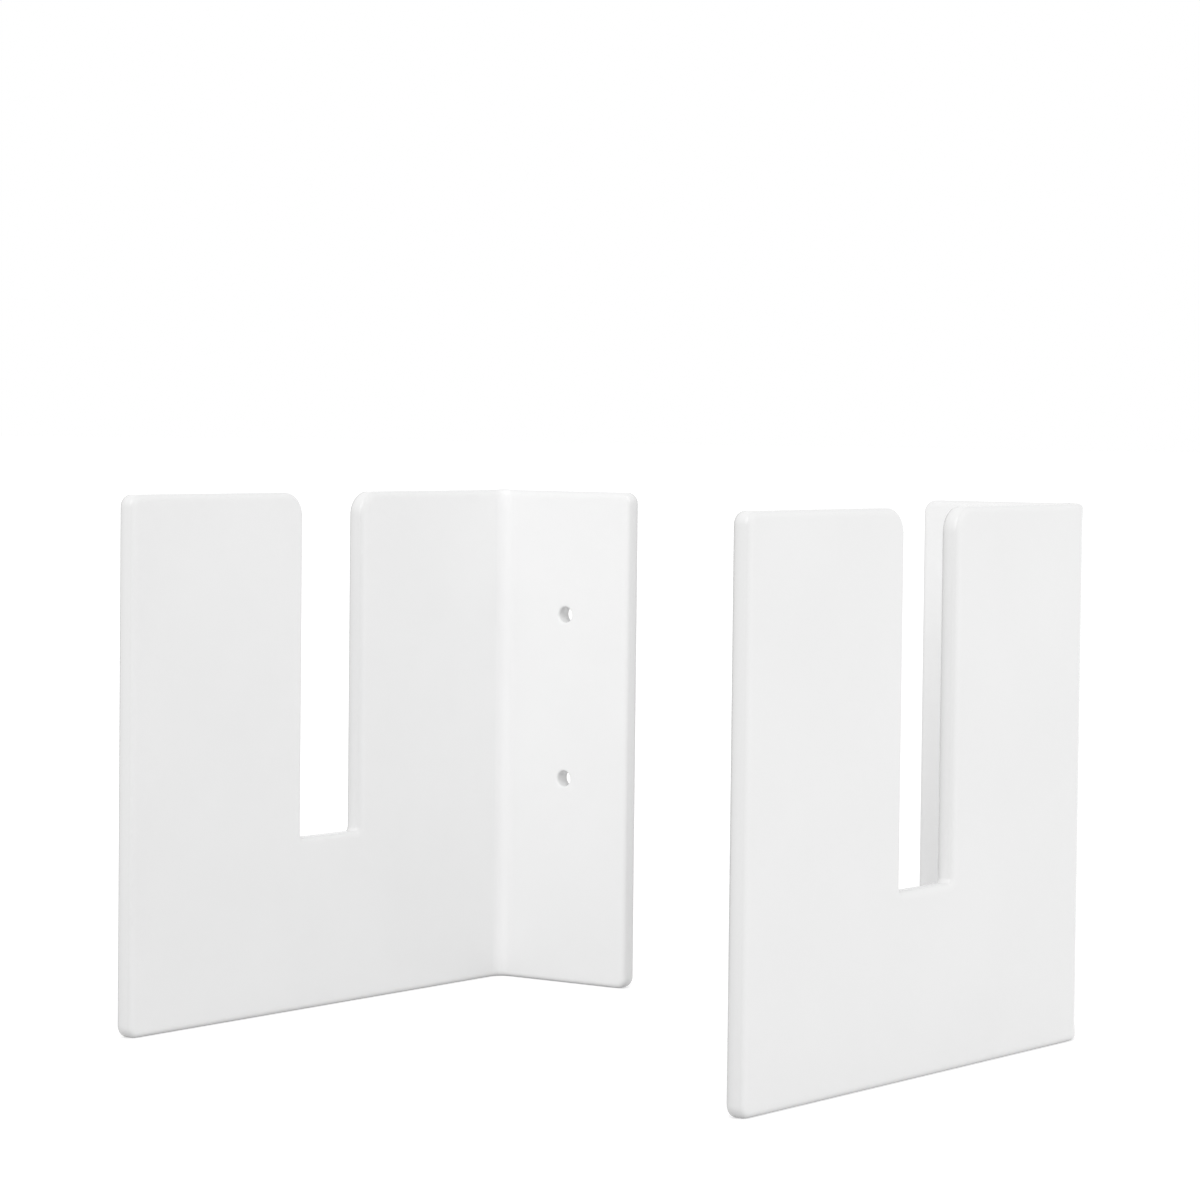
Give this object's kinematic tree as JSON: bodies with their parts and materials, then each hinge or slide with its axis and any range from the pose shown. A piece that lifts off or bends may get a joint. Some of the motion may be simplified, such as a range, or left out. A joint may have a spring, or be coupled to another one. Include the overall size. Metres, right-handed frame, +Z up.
{
  "type": "slotted wall bracket pair",
  "caption": "Mirror-image pair of L-shaped gloss white acrylic wall brackets. Each has a screw flange with holes and a plate with a tall open slot that holds the edge of a board.",
  "frame": {"origin": "under the middle of the pair: halfway between the outer faces of the plates, halfway from the wall to their free ends, at the height of the lower edges", "axes": "+Z up, +Y into the wall, plates reach out along -Y; the left bracket is on the -X side, as seen from in front of the wall"},
  "size_m": [0.15, 0.125, 0.1082],
  "materials": {
    "white_acrylic": "gloss"
  },
  "bodies": {
    "root": {"left_bracket": "white_acrylic", "right_bracket": "white_acrylic"}
  },
  "joints": []
}
